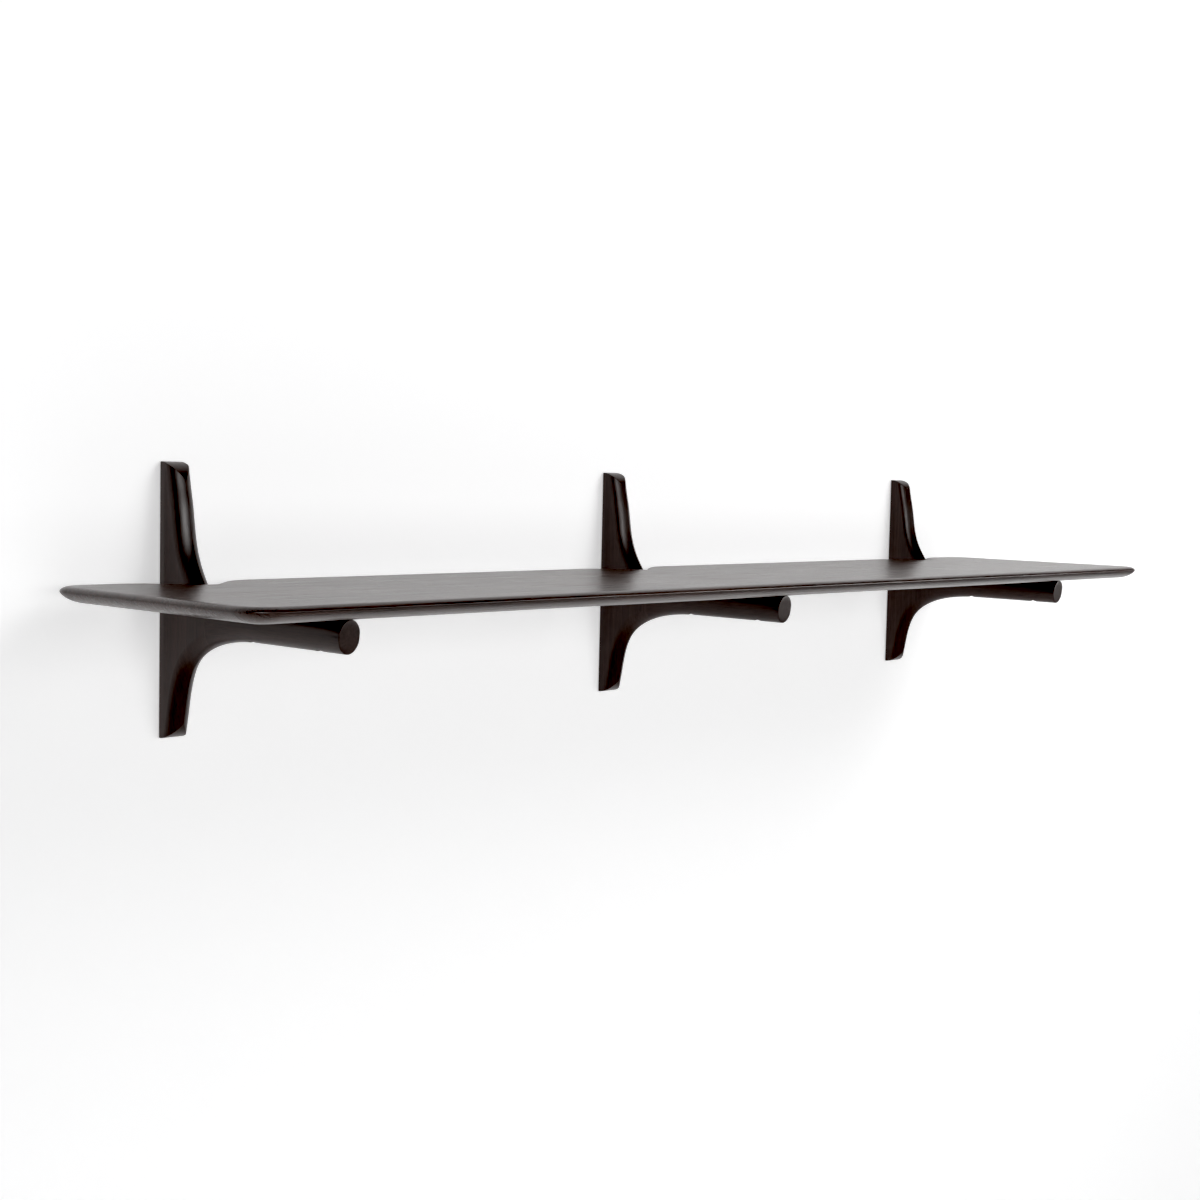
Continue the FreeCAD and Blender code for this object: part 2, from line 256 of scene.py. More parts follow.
def bare_metal(name, colour, roughness, spot_size):
    """A metal part with a slightly uneven skin: spots of spot_size, a little duller than the rest."""
    material = bpy.data.materials.new(name)
    material.use_nodes = True
    tree = material.node_tree
    shader = tree.nodes["Principled BSDF"]
    place = add(tree, "ShaderNodeTexCoord").outputs["Object"]
    spots = add(tree, "ShaderNodeTexNoise",
                {"Vector": place, "Scale": 1 / spot_size, "Detail": 3.0}).outputs[0]
    dull = add(tree, "ShaderNodeMapRange",
               {"Value": spots, "From Min": 0.3, "From Max": 0.7,
                "To Min": roughness - 0.06, "To Max": roughness + 0.12}).outputs[0]
    bump = add(tree, "ShaderNodeBump", {"Height": spots, "Strength": 0.2, "Distance": 0.02 * MM}).outputs[0]
    tree.links.new(dull, shader.inputs["Roughness"])
    tree.links.new(bump, shader.inputs["Normal"])
    shader.inputs["Base Color"].default_value = srgb(colour)
    shader.inputs["Metallic"].default_value = 1.0
    return material


def make_materials():
    quarter = 0.5 * math.pi
    # Sheen, roughness between which it varies, and the base, dark, light and pore colours.
    board_look = (0.47, (0.22, 0.38), "#33211B", "#241612", "#43302A", "#150C0A")
    bracket_look = (0.38, (0.3, 0.38), "#30201B", "#271814", "#382722", "#1E120F")
    return {
        "board": stained_wood("stained_mahogany_along_board", (0, 0, 0), *board_look),
        "post": stained_wood("stained_mahogany_upright", (0, quarter, 0), *bracket_look),
        "arm": stained_wood("stained_mahogany_outwards", (0, 0, quarter), *bracket_look),
        "beech": plain_beech(),
        # Zinc plating over pressed or rolled steel: bright grey, faintly cloudy.
        "zinc_steel": bare_metal("zinc_plated_steel", "#B9BDBF", 0.34, 3 * MM),
        # Turned brass: warm, a little brighter than the zinc.
        "brass": bare_metal("turned_brass", "#C9A257", 0.3, 2 * MM),
    }


# ---- the board ----

def arc_points(centre, radius, start, end, steps):
    angles = np.radians(np.linspace(start, end, steps + 1))
    return [(centre[0] + radius * math.cos(a), centre[1] + radius * math.sin(a)) for a in angles]


def notch_slope():
    """Angle in degrees between the back edge and the straight sides of the notch."""
    out = NOTCH_SHOULDER_RADIUS + NOTCH_BOTTOM_RADIUS + board_back - NOTCH_REACH
    distance = math.hypot(NOTCH_HALF_WIDTH, out)
    tangent = math.asin((NOTCH_SHOULDER_RADIUS + NOTCH_BOTTOM_RADIUS) / distance)
    return math.degrees(tangent - math.atan2(out, NOTCH_HALF_WIDTH))


def board_outline(inset):
    """Plan outline of the board, anticlockwise, moved inwards from the tip of its edge by inset."""
    corner = BOARD_CORNER_RADIUS
    radius = corner - inset
    slope = notch_slope()
    points = arc_points((board_half - corner, -board_back - corner), radius, 0, 90, 16)
    for name in reversed(BRACKETS):
        x = centre_x(name + "_post")
        shoulder_y = -board_back - NOTCH_SHOULDER_RADIUS
        shoulder_radius = NOTCH_SHOULDER_RADIUS - inset
        bottom = (x, -NOTCH_REACH + NOTCH_BOTTOM_RADIUS)
        bottom_radius = NOTCH_BOTTOM_RADIUS + inset
        points += arc_points((x + NOTCH_HALF_WIDTH, shoulder_y), shoulder_radius, 90, 90 + slope, 14)
        points += arc_points(bottom, bottom_radius, 270 + slope, 270 - slope, 20)
        points += arc_points((x - NOTCH_HALF_WIDTH, shoulder_y), shoulder_radius, 90 - slope, 90, 14)
    points += arc_points((-board_half + corner, -board_back - corner), radius, 90, 180, 16)
    points += arc_points((-board_half + corner, -board_reach + corner), radius, 180, 270, 16)
    points += arc_points((board_half - corner, -board_reach + corner), radius, 270, 360, 16)
    return points


def edge_profile():
    """Points (inset, z) from the flat of the top, over the rolled edge and down the undercut."""
    points = [(TOP_ROLL_WIDTH + FLAT_MARGIN, 0.0)]
    full_turn = math.radians(EDGE_TURN)
    whole = 1 - math.cos(full_turn)
    for a in np.linspace(0, full_turn, 13):
        points.append((TOP_ROLL_WIDTH * (1 - math.sin(a) / math.sin(full_turn)),
                       -EDGE_TIP_DROP * (1 - math.cos(a)) / whole))
    arris_low = EDGE_TIP_DROP + ARRIS_HEIGHT
    below = board_thickness - arris_low
    for a in np.linspace(full_turn, 0, 19):
        points.append((UNDERCUT_WIDTH * (1 - math.sin(a) / math.sin(full_turn)),
                       -board_thickness + below * (1 - math.cos(a)) / whole))
    points.append((UNDERCUT_WIDTH + FLAT_MARGIN, -board_thickness))
    return points


def stack_of_rings(rings):
    """Closed mesh through rings of equally many points, from the top ring down, capped at both ends."""
    bm = bmesh.new()
    rows = [[bm.verts.new(point) for point in ring] for ring in rings]
    for upper, lower in zip(rows, rows[1:]):
        for i in range(len(upper)):
            j = (i + 1) % len(upper)
            bm.faces.new((upper[i], lower[i], lower[j], upper[j]))
    bm.faces.new(rows[0])
    bm.faces.new(reversed(rows[-1]))
    return bm


def cut(obj, cutter):
    """Cuts the closed mesh of cutter out of obj, and removes cutter."""
    modifier = obj.modifiers.new("cut", "BOOLEAN")
    modifier.object = cutter
    modifier.operation = "DIFFERENCE"
    modifier.solver = "EXACT"
    evaluated = obj.evaluated_get(bpy.context.evaluated_depsgraph_get())
    mesh = bpy.data.meshes.new_from_object(evaluated)
    obj.modifiers.remove(modifier)
    obj.data = mesh
    bpy.data.objects.remove(cutter)


def turned(profile, place, axis):
    """Closed round solid: profile is (radius, distance along axis), from one end to the other."""
    rows = []
    turn = Vector((0, 0, 1)).rotation_difference(Vector(axis)).to_matrix()
    for radius, along in profile:
        angles = np.radians(np.arange(0, 360, 360 / 32))
        ring = [Vector((radius * math.cos(a), radius * math.sin(a), along)) for a in angles]
        rows.append([turn @ point + Vector(place) for point in ring])
    bm = stack_of_rings(rows[::-1])
    return new_object("cutter", mesh_of(bm, "cutter"))


def make_board(material):
    rings = [[(x, y, z) for x, y in board_outline(inset)] for inset, z in edge_profile()]
    board = new_object("board", mesh_of(stack_of_rings(rings), "board"))
    for name in BRACKETS:
        for reach in BOLT_REACHES:
            place = (centre_x(name + "_post"), -reach, -board_thickness)
            hole = [(INSERT_RADIUS, -PAST_SURFACE), (INSERT_RADIUS, INSERT_LENGTH)]
            cut(board, turned(hole, place, (0, 0, 1)))
    smooth(board.data)
    board.data.materials.clear()
    board.data.materials.append(material)
    return board


# ---- the brackets ----

def smooth_curve(points, start_direction, end_direction, steps):
    """Points along the smooth curve through the given ones, with fixed directions at both ends."""
    p = np.array(points, float)
    h = np.linalg.norm(np.diff(p, axis=0), axis=1)
    count = len(p)
    system = np.zeros((count, count))
    right = np.zeros((count, 2))
    system[0, 0] = system[-1, -1] = 1
    right[0] = np.array(start_direction) / np.linalg.norm(start_direction)
    right[-1] = np.array(end_direction) / np.linalg.norm(end_direction)
    for i in range(1, count - 1):
        system[i, i - 1:i + 2] = h[i], 2 * (h[i - 1] + h[i]), h[i - 1]
        right[i] = 3 * (h[i] * (p[i] - p[i - 1]) / h[i - 1] + h[i - 1] * (p[i + 1] - p[i]) / h[i])
    m = np.linalg.solve(system, right)
    curve = [p[0]]
    for i in range(count - 1):
        for t in np.linspace(0, 1, steps + 1)[1:]:
            curve.append((2 * t**3 - 3 * t**2 + 1) * p[i] + (t**3 - 2 * t**2 + t) * h[i] * m[i]
                         + (3 * t**2 - 2 * t**3) * p[i + 1] + (t**3 - t**2) * h[i] * m[i + 1])
    return curve


def straight(start, end, steps):
    return [np.array(start) + (np.array(end) - np.array(start)) * t for t in np.linspace(0, 1, steps + 1)[1:]]


def bow(start, through, end, steps):
    """Points of the parabola from start to end, which passes through the middle point halfway."""
    a, b, c = (np.array(v, float) for v in (start, through, end))
    pull = 2 * b - 0.5 * (a + c)
    return [(1 - t)**2 * a + 2 * t * (1 - t) * pull + t**2 * c for t in np.linspace(0, 1, steps + 1)[1:]]


def upper_path():
    """Fin's front edge, the sweep under the board and the top of the arm, as (reach, z)."""
    level = -board_thickness
    tip = (FIN_TIP[0] / MM, (fin_height - FIN_TIP[1]) / MM)
    fin = [tip, *FIN_LINE, (FIN_LINE_END, level / MM)]
    path = smooth_curve(np.array(fin) * MM, (4, -22), (37, 0), 8)
    path += straight(path[-1], (ARM_LEVEL_REACH, level), 8)
    middle = (0.5 * (ARM_LEVEL_REACH + arm_reach), level - 0.25 * ARM_END_DROP)
    return path + bow(path[-1], middle, (arm_reach, level - ARM_END_DROP), 8)


def lower_path():
    """Underside of the arm from its end to its root, and the foot's front edge, as (reach, z)."""
    end = np.array((arm_reach - ARM_END_SLANT, ARM_BOTTOM))
    root = (FOOT_LINE_START * MM, ARM_BOTTOM)
    tip = (FOOT_TIP[0] / MM, (post_bottom + FOOT_TIP[1]) / MM)
    foot = [(FOOT_LINE_START, ARM_BOTTOM / MM), *FOOT_LINE, tip]
    return [end] + straight(end, root, 8) + smooth_curve(np.array(foot) * MM, (-51, 0), (-6, -27), 8)[1:]


def end_cut(end_z, tip):
    """The curved end cut of a post from the wall to its tip, as a fine chain of (reach, z)."""
    start, end = Vector((0, end_z)), Vector(tip)
    through = Vector((END_CUT_BOW[0] * tip[0], end_z + END_CUT_BOW[1] * (tip[1] - end_z)))
    a, b = through - start, end - start
    cross = 2 * (a.x * b.y - a.y * b.x)
    centre = start + Vector((b.y * a.dot(a) - a.y * b.dot(b), a.x * b.dot(b) - b.x * a.dot(a))) / cross
    spoke = start - centre
    sweep = spoke.angle_signed(end - centre)
    turns = [Matrix.Rotation(-sweep * t, 2) for t in np.linspace(0, 1, 25)]
    return np.array([centre + turn @ spoke for turn in turns])


def inset_path(path, depth):
    """The path moved into the wood by depth: to the right of its direction of travel."""
    p = np.array(path)
    along = np.gradient(p, axis=0)
    along /= np.linalg.norm(along, axis=1)[:, None]
    return p + depth * np.column_stack((along[:, 1], -along[:, 0]))


def post_to_arm(reach, on_post, on_arm):
    """A value that changes smoothly from the post's to the arm's, between 35 and 110 mm from the wall."""
    t = np.clip((reach - 35 * MM) / (75 * MM), 0, 1)
    return on_post + (on_arm - on_post) * t * t * (3 - 2 * t)


def crossing(chain, other):
    """First crossing of two chains of points: how far along each, as a number of steps."""
    for i in range(len(chain) - 1):
        a, u = chain[i], chain[i + 1] - chain[i]
        for j in range(len(other) - 1):
            b, v = other[j], other[j + 1] - other[j]
            det = u[0] * v[1] - u[1] * v[0]
            if abs(det) < 1e-18:
                continue
            s = ((b[0] - a[0]) * v[1] - (b[1] - a[1]) * v[0]) / det
            t = ((b[0] - a[0]) * u[1] - (b[1] - a[1]) * u[0]) / det
            if -1e-9 <= s <= 1 + 1e-9 and -1e-9 <= t <= 1 + 1e-9:
                return i + s, j + t
    raise ValueError("two outlines of the bracket don't meet")


def extended(chain, length):
    """The chain with both ends carried on in a straight line by length."""
    first = chain[0] + (chain[0] - chain[1]) / np.linalg.norm(chain[0] - chain[1]) * length
    last = chain[-1] + (chain[-1] - chain[-2]) / np.linalg.norm(chain[-1] - chain[-2]) * length
    return np.vstack((first, chain, last))


def resampled(chain, start, end, count):
    """count + 1 points between two places along the chain, evenly by place number."""
    places = np.linspace(start, end, count + 1)
    steps = np.arange(len(chain))
    return np.column_stack([np.interp(places, steps, chain[:, k]) for k in (0, 1)])


def shortened(chain, length):
    """The chain without its first and last length, with as many points as before."""
    steps = np.linalg.norm(np.diff(chain, axis=0), axis=1)
    along = np.concatenate(([0], np.cumsum(steps)))
    places = length + along * (1 - 2 * length / along[-1])
    return np.column_stack([np.interp(places, along, chain[:, k]) for k in (0, 1)])


def joined_round(chains):
    """One closed outline from chains that meet end to start, with every corner between them eased."""
    ring = []
    for chain, after in zip(chains, chains[1:] + chains[:1]):
        start, following = shortened(chain, EASED_EDGE), shortened(after, EASED_EDGE)
        ring += list(start)
        pull = chain[-1]
        for t in np.linspace(0, 1, 5)[1:-1]:
            ring.append((1 - t)**2 * start[-1] + 2 * t * (1 - t) * pull + t**2 * following[0])
    return ring


def side_ring(turn):
    """One level of the bracket's skin as (x, y, z): turn is 0 at the crest and 90 at the flat side."""
    angle = math.radians(min(turn, 90))
    margin = SIDE_MARGIN if turn > 90 else 0.0
    upper, lower = np.array(upper_path()), np.array(lower_path())

    def half_width(reach):
        return half_bracket * math.sin(angle) ** (2 / post_to_arm(reach, FIN_ROUNDNESS, ARM_ROUNDNESS))

    def easing(reach):
        """How far an end face draws back here, so that its side edges are rounded."""
        past = max(0.0, 1 - (half_bracket - half_width(reach)) / EASED_EDGE)
        return EASED_EDGE * (1 - math.sqrt(1 - past * past)) + margin

    moved = []
    for path in (upper, lower):
        depth = post_to_arm(path[:, 0], FIN_NOSE_DEPTH, ARM_NOSE_DEPTH)[:, None]
        moved.append(extended(inset_path(path, (1 - math.cos(angle)) * depth + margin), LINE_OVERRUN))
    over, under = moved
    on_post, on_arm = easing(0), easing(arm_reach)
    arm_end = extended(inset_path([upper[-1], lower[0]], on_arm), END_OVERRUN)
    top = inset_path(end_cut(fin_height, (FIN_TIP[0], fin_height - FIN_TIP[1])), on_post)
    bottom = inset_path(end_cut(post_bottom, (FOOT_TIP[0], post_bottom + FOOT_TIP[1])), -on_post)
    back = np.array([(on_post, post_bottom - END_OVERRUN), (on_post, fin_height + END_OVERRUN)])
    top, bottom = extended(top, END_OVERRUN), extended(bottom, END_OVERRUN)

    over_start, top_end = crossing(over, top)
    over_end, arm_end_start = crossing(over[::-1], arm_end)
    under_start, arm_end_end = crossing(under, arm_end)
    under_end, bottom_end = crossing(under[::-1], bottom)
    top_start = crossing(top, back)[0]
    bottom_start = crossing(bottom, back)[0]
    chains = [
        resampled(top, top_start, top_end, 8),
        resampled(over, over_start, len(over) - 1 - over_end, 60),
        resampled(arm_end, arm_end_start, arm_end_end, 6),
        resampled(under, under_start, len(under) - 1 - under_end, 46),
        resampled(bottom, bottom_end, bottom_start, 8),
    ]
    chains.append(np.vstack((chains[-1][-1], straight(chains[-1][-1], chains[0][0], 12))))
    return [(half_width(reach), -reach, z) for reach, z in joined_round(chains)]


def bracket_blank():
    """Post and arm as one carved form about x = 0: level outlines stacked from side to side."""
    levels = [side_ring(turn) for turn in [*np.linspace(0, 90, SECTION_STEPS + 1), 91]]
    mirrored = [[(-x, y, z) for x, y, z in ring] for ring in levels[:0:-1]]
    bm = stack_of_rings(mirrored + levels)
    bmesh.ops.recalc_face_normals(bm, faces=bm.faces)
    return bm


def half_of(blank, side, name):
    """The part of the blank on one side of the glued joint, closed there: side 1 is the wall's.

    Faces with many corners are split into triangles, which keeps the cuts that follow clean.
    """
    bm = blank.copy()
    bmesh.ops.bisect_plane(bm, geom=[*bm.verts, *bm.edges, *bm.faces], dist=1e-6,
                           plane_co=(0, -JOINT_PLANE, 0), plane_no=(0, -side, 0), clear_outer=True)
    rim = [e for e in bm.edges if e.is_boundary]
    bmesh.ops.edgeloop_fill(bm, edges=rim)
    bmesh.ops.recalc_face_normals(bm, faces=bm.faces)
    bmesh.ops.triangulate(bm, faces=[face for face in bm.faces if len(face.verts) > 4])
    return new_object(name, mesh_of(bm, name))


def long_hole(radius, z_low, z_high, y_start, y_end):
    """Closed upright slot with round ends, between two depths."""
    outline = arc_points((0, z_high), radius, 0, 180, 16) + arc_points((0, z_low), radius, 180, 360, 16)
    bm = stack_of_rings([[(x, y, z) for x, z in outline] for y in (y_start, y_end)])
    bmesh.ops.recalc_face_normals(bm, faces=bm.faces)
    return new_object("cutter", mesh_of(bm, "cutter"))


def tenon_cutter():
    low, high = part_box("middle_loose_tenon")
    radius = 0.5 * (high.x - low.x)
    return long_hole(radius, low.z + radius, high.z - radius, low.y, high.y)


def screw_profile():
    """Countersunk wood screw as (radius, depth) from its head inwards, a little past the surface."""
    shank_end = SCREW_LENGTH - SCREW_POINT_LENGTH
    return [(SCREW_HEAD_RADIUS, -PAST_SURFACE), (SCREW_HEAD_RADIUS, 0),
            (SCREW_SHANK_RADIUS, SCREW_HEAD_DEPTH), (SCREW_SHANK_RADIUS, shank_end),
            (0.2 * MM, SCREW_LENGTH)]


def make_bracket_wood():
    """One post and one arm about x = 0, with every recess cut: they are copied for each bracket."""
    blank = bracket_blank()
    post = half_of(blank, 1, "post")
    arm = half_of(blank, -1, "arm")
    blank.free()
    cut(post, tenon_cutter())
    cut(arm, tenon_cutter())
    for place in ("upper", "lower"):
        low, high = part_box(f"middle_{place}_keyhole_plate")
        z = 0.5 * (low.z + high.z)
        cut(post, long_hole(POCKET_RADIUS, z + POCKET_REACH[0], z + POCKET_REACH[1],
                            -POCKET_DEPTH, PAST_SURFACE))
        cut(post, long_hole(PLATE_RADIUS, low.z + PLATE_RADIUS, high.z - PLATE_RADIUS,
                            -PLATE_THICKNESS, PAST_SURFACE))
        for screw_z in (z - SCREW_OFFSET, z + SCREW_OFFSET):
            cut(post, turned(screw_profile(), (0, 0, screw_z), (0, -1, 0)))
    hole = [(COUNTERBORE_RADIUS, ARM_BOTTOM - 5 * MM), (COUNTERBORE_RADIUS, BOLT_SEAT_Z),
            (CLEARANCE_RADIUS, BOLT_SEAT_Z), (CLEARANCE_RADIUS, 0)]
    for reach in BOLT_REACHES:
        cut(arm, turned(hole, (0, -reach, 0), (0, 0, 1)))
    return post, arm


def place_bracket_wood(materials):
    pieces = dict(zip(("post", "arm"), make_bracket_wood()))
    for kind, pattern in pieces.items():
        for name in BRACKETS:
            mesh = pattern.data.copy()
            mesh.transform(Matrix.Translation((centre_x(name + "_post"), 0, 0)))
            smooth(mesh)
            mesh.materials.clear()
            mesh.materials.append(materials[kind])
            piece = new_object(f"{name}_bracket_{kind}", mesh)
            finish_piece(piece, "stained_wood", f"{name}_{kind}")
        bpy.data.objects.remove(pattern)


# ---- screws and bolts, as one geometry tree for each kind ----

def start_tree(name, sizes):
    """A geometry tree with a named length input for each size, and its group input node."""
    tree = bpy.data.node_groups.new(name, "GeometryNodeTree")
    tree.interface.new_socket("Geometry", in_out="INPUT", socket_type="NodeSocketGeometry")
    for label, value in sizes.items():
        socket = tree.interface.new_socket(label, in_out="INPUT", socket_type="NodeSocketFloat")
        socket.default_value = value
    tree.interface.new_socket("Geometry", in_out="OUTPUT", socket_type="NodeSocketGeometry")
    return tree, tree.nodes.new("NodeGroupInput").outputs


def end_tree(tree, points, parts, cutter, turn, material):
    """Joins the parts, cuts the drive recess, and sets one, turned, on each point."""
    recessed = add(tree, "GeometryNodeMeshBoolean", {0: parts[0], "Mesh 2": cutter}, operation="DIFFERENCE")
    rest = add(tree, "GeometryNodeJoinGeometry", {"Geometry": [recessed.outputs[0], *parts[1:]]}).outputs[0]
    placed = add(tree, "GeometryNodeInstanceOnPoints", {"Points": points, "Instance": rest, "Rotation": turn})
    real = add(tree, "GeometryNodeRealizeInstances", {"Geometry": placed.outputs[0]}).outputs[0]
    shown = add(tree, "GeometryNodeSetMaterial", {"Geometry": real, "Material": material}).outputs[0]
    add(tree, "NodeGroupOutput", {"Geometry": shown})


def helix(tree, radius, start, height, pitch, crest):
    """A screw thread: a three-sided ridge wound along Z from start, crest being its size."""
    turns = add(tree, "ShaderNodeMath", {0: height, 1: pitch}, operation="DIVIDE").outputs[0]
    spiral = add(tree, "GeometryNodeCurveSpiral",
                 {"Resolution": 20, "Rotations": turns, "Start Radius": radius, "End Radius": radius,
                  "Height": height}).outputs[0]
    offset = add(tree, "ShaderNodeCombineXYZ", {"Z": start}).outputs[0]
    moved = add(tree, "GeometryNodeTransform", {"Geometry": spiral, "Translation": offset}).outputs[0]
    ridge = add(tree, "GeometryNodeCurvePrimitiveCircle", {"Resolution": 3, "Radius": crest}).outputs[0]
    return add(tree, "GeometryNodeCurveToMesh",
               {"Curve": moved, "Profile Curve": ridge, "Fill Caps": True}).outputs[0]


def cone(tree, bottom, top, depth, z, sides=28):
    shape = add(tree, "GeometryNodeMeshCone",
                {"Vertices": sides, "Radius Bottom": bottom, "Radius Top": top, "Depth": depth}).outputs[0]
    return add(tree, "GeometryNodeTransform", {"Geometry": shape, "Translation": (0, 0, z)}).outputs[0]


def screw_tree(material):
    """Countersunk wood screw with a six-sided drive, its head at z = 0 and its point at +Z."""
    tree, sizes = start_tree("countersunk_wood_screw", {"Head radius": SCREW_HEAD_RADIUS,
                                                        "Core radius": SCREW_CORE_RADIUS,
                                                        "Thread pitch": SCREW_PITCH})
    shank_end = SCREW_LENGTH - SCREW_POINT_LENGTH
    head = cone(tree, sizes["Head radius"], sizes["Core radius"], SCREW_HEAD_DEPTH, 0)
    core = cone(tree, sizes["Core radius"], sizes["Core radius"],
                shank_end - SCREW_HEAD_DEPTH, SCREW_HEAD_DEPTH)
    point = cone(tree, sizes["Core radius"], 0.15 * MM, SCREW_POINT_LENGTH, shank_end)
    thread = helix(tree, sizes["Core radius"], 3 * MM, shank_end - 3 * MM,
                   sizes["Thread pitch"], SCREW_THREAD_CREST)
    drive = cone(tree, 1.25 * MM, 1.1 * MM, 1.4 * MM, -0.3 * MM, 6)
    turn = (0.5 * math.pi, 0, 0)
    end_tree(tree, sizes["Geometry"], [head, core, point, thread], drive, turn, material)
    return tree


def bolt_tree(material):
    """Cap-head bolt with a hexagonal socket, its head from z = 0 up to the shank above."""
    tree, sizes = start_tree("cap_head_bolt", {"Head radius": BOLT_HEAD_RADIUS,
                                               "Core radius": BOLT_CORE_RADIUS,
                                               "Thread pitch": BOLT_PITCH})
    shank = -board_thickness + INSERT_LENGTH - 0.6 * MM - BOLT_SEAT_Z
    head = cone(tree, sizes["Head radius"], sizes["Head radius"], BOLT_HEAD_HEIGHT, 0, 40)
    core = cone(tree, sizes["Core radius"], sizes["Core radius"], shank, BOLT_HEAD_HEIGHT)
    thread_start = BOLT_HEAD_HEIGHT + 8 * MM
    thread = helix(tree, sizes["Core radius"], thread_start, shank - 8.6 * MM,
                   sizes["Thread pitch"], BOLT_THREAD_CREST)
    socket = cone(tree, 2.9 * MM, 2.9 * MM, 4 * MM, -1 * MM, 6)
    end_tree(tree, sizes["Geometry"], [head, core, thread], socket, (0, 0, 0), material)
    return tree


def grown_on_points(name, places, tree, sizes):
    """A plain mesh of what the tree makes on the places, with its named sizes set."""
    bm = bmesh.new()
    for place in places:
        bm.verts.new(place)
    obj = new_object(name, mesh_of(bm, name))
    modifier = obj.modifiers.new("build", "NODES")
    modifier.node_group = tree
    for item in tree.interface.items_tree:
        if item.in_out == "INPUT" and item.name in sizes:
            modifier[item.identifier] = sizes[item.name]
    evaluated = obj.evaluated_get(bpy.context.evaluated_depsgraph_get())
    mesh = bpy.data.meshes.new_from_object(evaluated)
    obj.modifiers.remove(modifier)
    obj.data = mesh
    smooth(mesh)
    return obj


def make_fixings(materials):
    screw_places, bolt_places = [], []
    for name in BRACKETS:
        x = centre_x(name + "_post")
        for place in ("upper", "lower"):
            low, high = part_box(f"{name}_{place}_keyhole_plate")
            z = 0.5 * (low.z + high.z)
            screw_places += [(x, 0, z - SCREW_OFFSET), (x, 0, z + SCREW_OFFSET)]
        bolt_places += [(x, -reach, BOLT_SEAT_Z - BOLT_HEAD_HEIGHT) for reach in BOLT_REACHES]
    screws = grown_on_points("keyhole_plate_screws", screw_places, screw_tree(materials["zinc_steel"]),
                             {"Head radius": SCREW_HEAD_RADIUS})
    finish_piece(screws, "zinc_steel", *[f"{name}_plate_screws" for name in BRACKETS])
    bolts = grown_on_points("arm_to_board_bolts", bolt_places, bolt_tree(materials["zinc_steel"]),
                            {"Head radius": BOLT_HEAD_RADIUS})
    finish_piece(bolts, "zinc_steel", *[f"{name}_board_bolts" for name in BRACKETS])


def dress_cad_nodes(materials):
    """Hidden and simple parts stay as designed, and get their real finish."""
    finishes = {"loose_tenon": "beech", "board_inserts": "brass",
                "upper_keyhole_plate": "zinc_steel", "lower_keyhole_plate": "zinc_steel"}
    for name in BRACKETS:
        for part, finish in finishes.items():
            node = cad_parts[f"{name}_{part}"]
            node.data.materials.clear()
            node.data.materials.append(materials[finish])


def finish_piece(piece, slot, *nodes):
    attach(piece, "root")
    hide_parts(*nodes)


# ---- studio ----

def plane(name, corners, material):
    bm = bmesh.new()
    bm.faces.new([bm.verts.new(corner) for corner in corners])
    obj = new_object(name, mesh_of(bm, name))
    obj.data.materials.append(material)


def painted_wall():
    """White wall that glows a little, so that its shadows stay soft. It is open from behind.

    Light also passes where the wood nearly touches it, so the backs of the posts can be seen lit.
    """
    material = bpy.data.materials.new("matt_white_wall")
    material.use_nodes = True
    tree = material.node_tree
    shader = tree.nodes["Principled BSDF"]
    shader.inputs["Base Color"].default_value = srgb("#F4F4F4")
    shader.inputs["Roughness"].default_value = 0.9
    shader.inputs["Specular IOR Level"].default_value = 0.0
    shader.inputs["Emission Color"].default_value = srgb("#FDFDFE")
    shader.inputs["Emission Strength"].default_value = WALL_GLOW
    behind = add(tree, "ShaderNodeNewGeometry").outputs["Backfacing"]
    length = add(tree, "ShaderNodeLightPath").outputs["Ray Length"]
    near = add(tree, "ShaderNodeMath", {0: length, 1: WALL_OPENING}, operation="LESS_THAN").outputs[0]
    opening = add(tree, "ShaderNodeMath", {0: behind, 1: near}, operation="MAXIMUM").outputs[0]
    gap = add(tree, "ShaderNodeBsdfTransparent").outputs[0]
    mixed = add(tree, "ShaderNodeMixShader", {0: opening, 1: shader.outputs[0], 2: gap}).outputs[0]
    tree.links.new(mixed, tree.nodes["Material Output"].inputs["Surface"])
    return material


def pale_floor():
    material = bpy.data.materials.new("pale_matt_floor")
    material.use_nodes = True
    shader = material.node_tree.nodes["Principled BSDF"]
    shader.inputs["Base Color"].default_value = srgb("#E9E9E8")
    shader.inputs["Roughness"].default_value = 0.8
    return material


def make_world():
    """Dim studio in front of the wall and bright behind it, with a pale look for the eye."""
    world = bpy.data.worlds.new("studio")
    bpy.context.scene.world = world
    world.use_nodes = True
    tree = world.node_tree
    direction = add(tree, "ShaderNodeTexCoord").outputs["Generated"]
    y = add(tree, "ShaderNodeSeparateXYZ", {0: direction}).outputs["Y"]
    behind = add(tree, "ShaderNodeMath", {0: y, 1: 0.0}, operation="GREATER_THAN").outputs[0]
    strength = add(tree, "ShaderNodeMapRange",
                   {"Value": behind, "To Min": STUDIO_DIM, "To Max": STUDIO_BRIGHT}).outputs[0]
    seen = add(tree, "ShaderNodeLightPath").outputs["Is Camera Ray"]
    shown = add(tree, "ShaderNodeMix", {0: seen, 2: strength, 3: STUDIO_BRIGHT}).outputs[0]
    background = tree.nodes["Background"]
    background.inputs["Color"].default_value = (1, 1, 1, 1)
    tree.links.new(shown, background.inputs["Strength"])


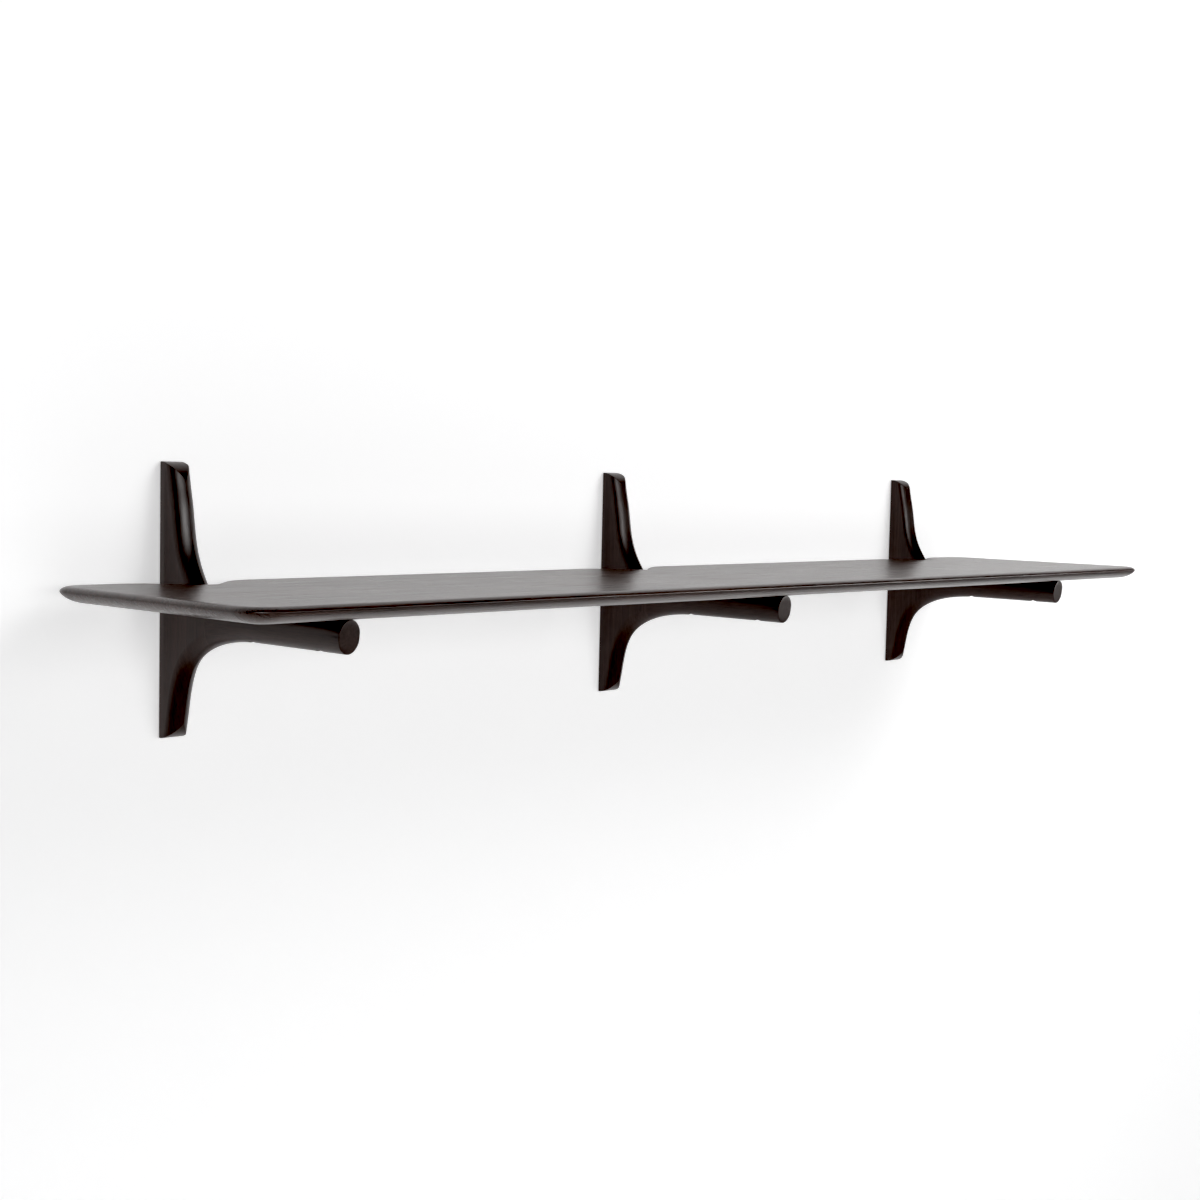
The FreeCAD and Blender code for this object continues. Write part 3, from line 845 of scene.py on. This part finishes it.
def softbox(name, place, target, width, height, radiance, matt=True, sheen=True):
    """Even rectangular light, which may be kept out of matt surfaces or out of the sheen."""
    light = bpy.data.lights.new(name, "AREA")
    light.shape = "RECTANGLE"
    light.size = width
    light.size_y = height
    light.energy = radiance * math.pi * width * height
    obj = bpy.data.objects.new(name, light)
    obj.location = place
    obj.rotation_euler = (Vector(target) - Vector(place)).to_track_quat("-Z", "Y").to_euler()
    obj.visible_diffuse = matt
    obj.visible_glossy = sheen
    bpy.context.scene.collection.objects.link(obj)


def make_camera():
    """Camera to the left of the shelf, looking along the wall, a little above the board."""
    yaw, pitch, roll = (math.radians(a) for a in CAMERA_TURN)
    forward = Vector((math.sin(yaw) * math.cos(pitch), math.cos(yaw) * math.cos(pitch), -math.sin(pitch)))
    level = Vector((math.cos(yaw), -math.sin(yaw), 0))
    upright = level.cross(forward)
    right = level * math.cos(roll) + upright * math.sin(roll)
    up = upright * math.cos(roll) - level * math.sin(roll)
    camera = bpy.data.cameras.new("camera")
    camera.sensor_width = 36
    camera.lens = CAMERA_LENS
    camera.shift_x = CAMERA_SHIFT
    camera.clip_end = 60
    obj = bpy.data.objects.new("camera", camera)
    turn = Matrix((right, up, -forward)).transposed()
    obj.matrix_world = Matrix.Translation(CAMERA_PLACE) @ turn.to_4x4()
    bpy.context.scene.collection.objects.link(obj)
    bpy.context.scene.camera = obj


def set_tone_curve():
    """Plain tone curve with deep blacks."""
    view = bpy.context.scene.view_settings
    view.view_transform = "Standard"
    view.use_curve_mapping = True
    view.curve_mapping.black_level = (BLACK_LEVEL,) * 3


def make_studio():
    plane("wall", [(-7, MM, FLOOR_Z), (7, MM, FLOOR_Z), (7, MM, 4), (-7, MM, 4)], painted_wall())
    plane("floor", [(-9, -9, FLOOR_Z), (9, -9, FLOOR_Z), (9, 9, FLOOR_Z), (-9, 9, FLOOR_Z)], pale_floor())
    make_world()
    # A broad light for the mirror-like parts, one at each side for the noses and the board's edge,
    # and a high one that lays the soft shadows on the wall.
    softbox("front_softbox", (-0.3, -3.4, 0), (-0.3, 0, 0), 6.4, 1.5, 2.1)
    softbox("right_softbox", (4.1, -3.3, 0.1), (0.2, 0, 0), 2.2, 0.9, 17.0, matt=False)
    softbox("left_softbox", (-2.8, -2.9, 0.85), (-0.3, 0, 0), 1.3, 1.0, 14.0, matt=False)
    softbox("high_softbox", (2.0, -2.4, 2.7), (0, 0, 0), 2.6, 2.2, 4.3, sheen=False)
    make_camera()
    set_tone_curve()


# ---- build ----

materials = make_materials()
finish_piece(make_board(materials["board"]), "stained_wood", "shelf_board")
place_bracket_wood(materials)
make_fixings(materials)
dress_cad_nodes(materials)
make_studio()
